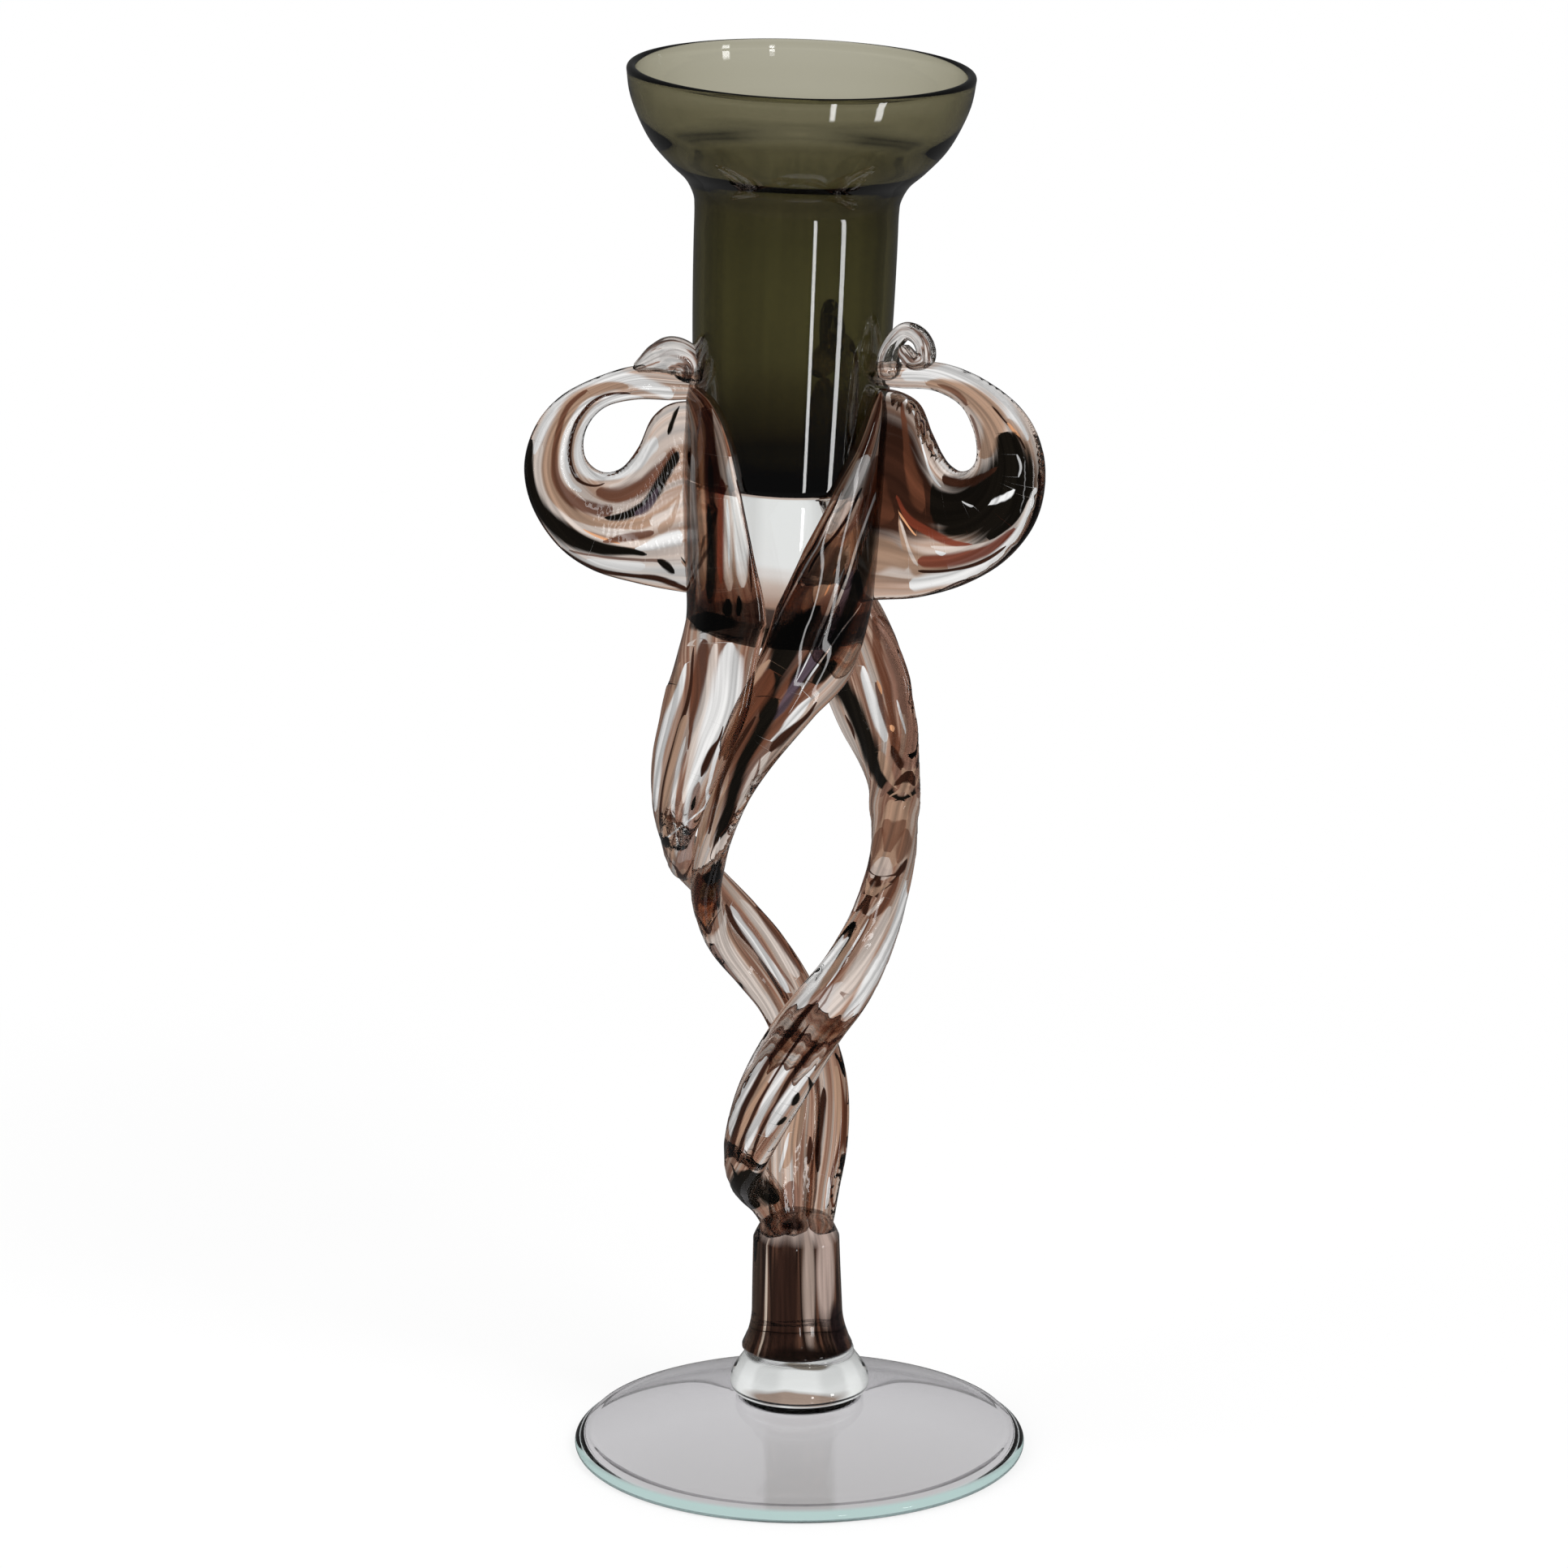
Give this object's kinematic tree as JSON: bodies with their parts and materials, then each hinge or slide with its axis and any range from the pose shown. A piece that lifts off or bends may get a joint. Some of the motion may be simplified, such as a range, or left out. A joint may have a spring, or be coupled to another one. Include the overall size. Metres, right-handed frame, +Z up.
{
  "type": "glass vase",
  "caption": "Tall footed vase with a flared smoked cup on twisting streaked glass strands, with ear shaped loops and curls on its sides.",
  "frame": {"origin": "on the table, under the middle of the whole vase's box", "axes": "+Z up; the picture looks along +Y, so its right is +X"},
  "size_m": [0.1144, 0.1072, 0.3214],
  "materials": {
    "olive_glass": "gloss",
    "clear_glass": "gloss",
    "streaked_glass": "gloss",
    "smoky_glass": "gloss"
  },
  "bodies": {
    "root": {"foot": "clear_glass", "clear_ring": "clear_glass", "stump": "smoky_glass", "cup_base": "clear_glass", "cup": "olive_glass", "strand_left": "streaked_glass", "loop_left": "streaked_glass", "curl_left": "clear_glass", "strand_right": "streaked_glass", "loop_right": "streaked_glass", "curl_right": "clear_glass", "strand_back": "streaked_glass", "loop_back": "streaked_glass", "curl_back": "clear_glass"}
  },
  "joints": []
}
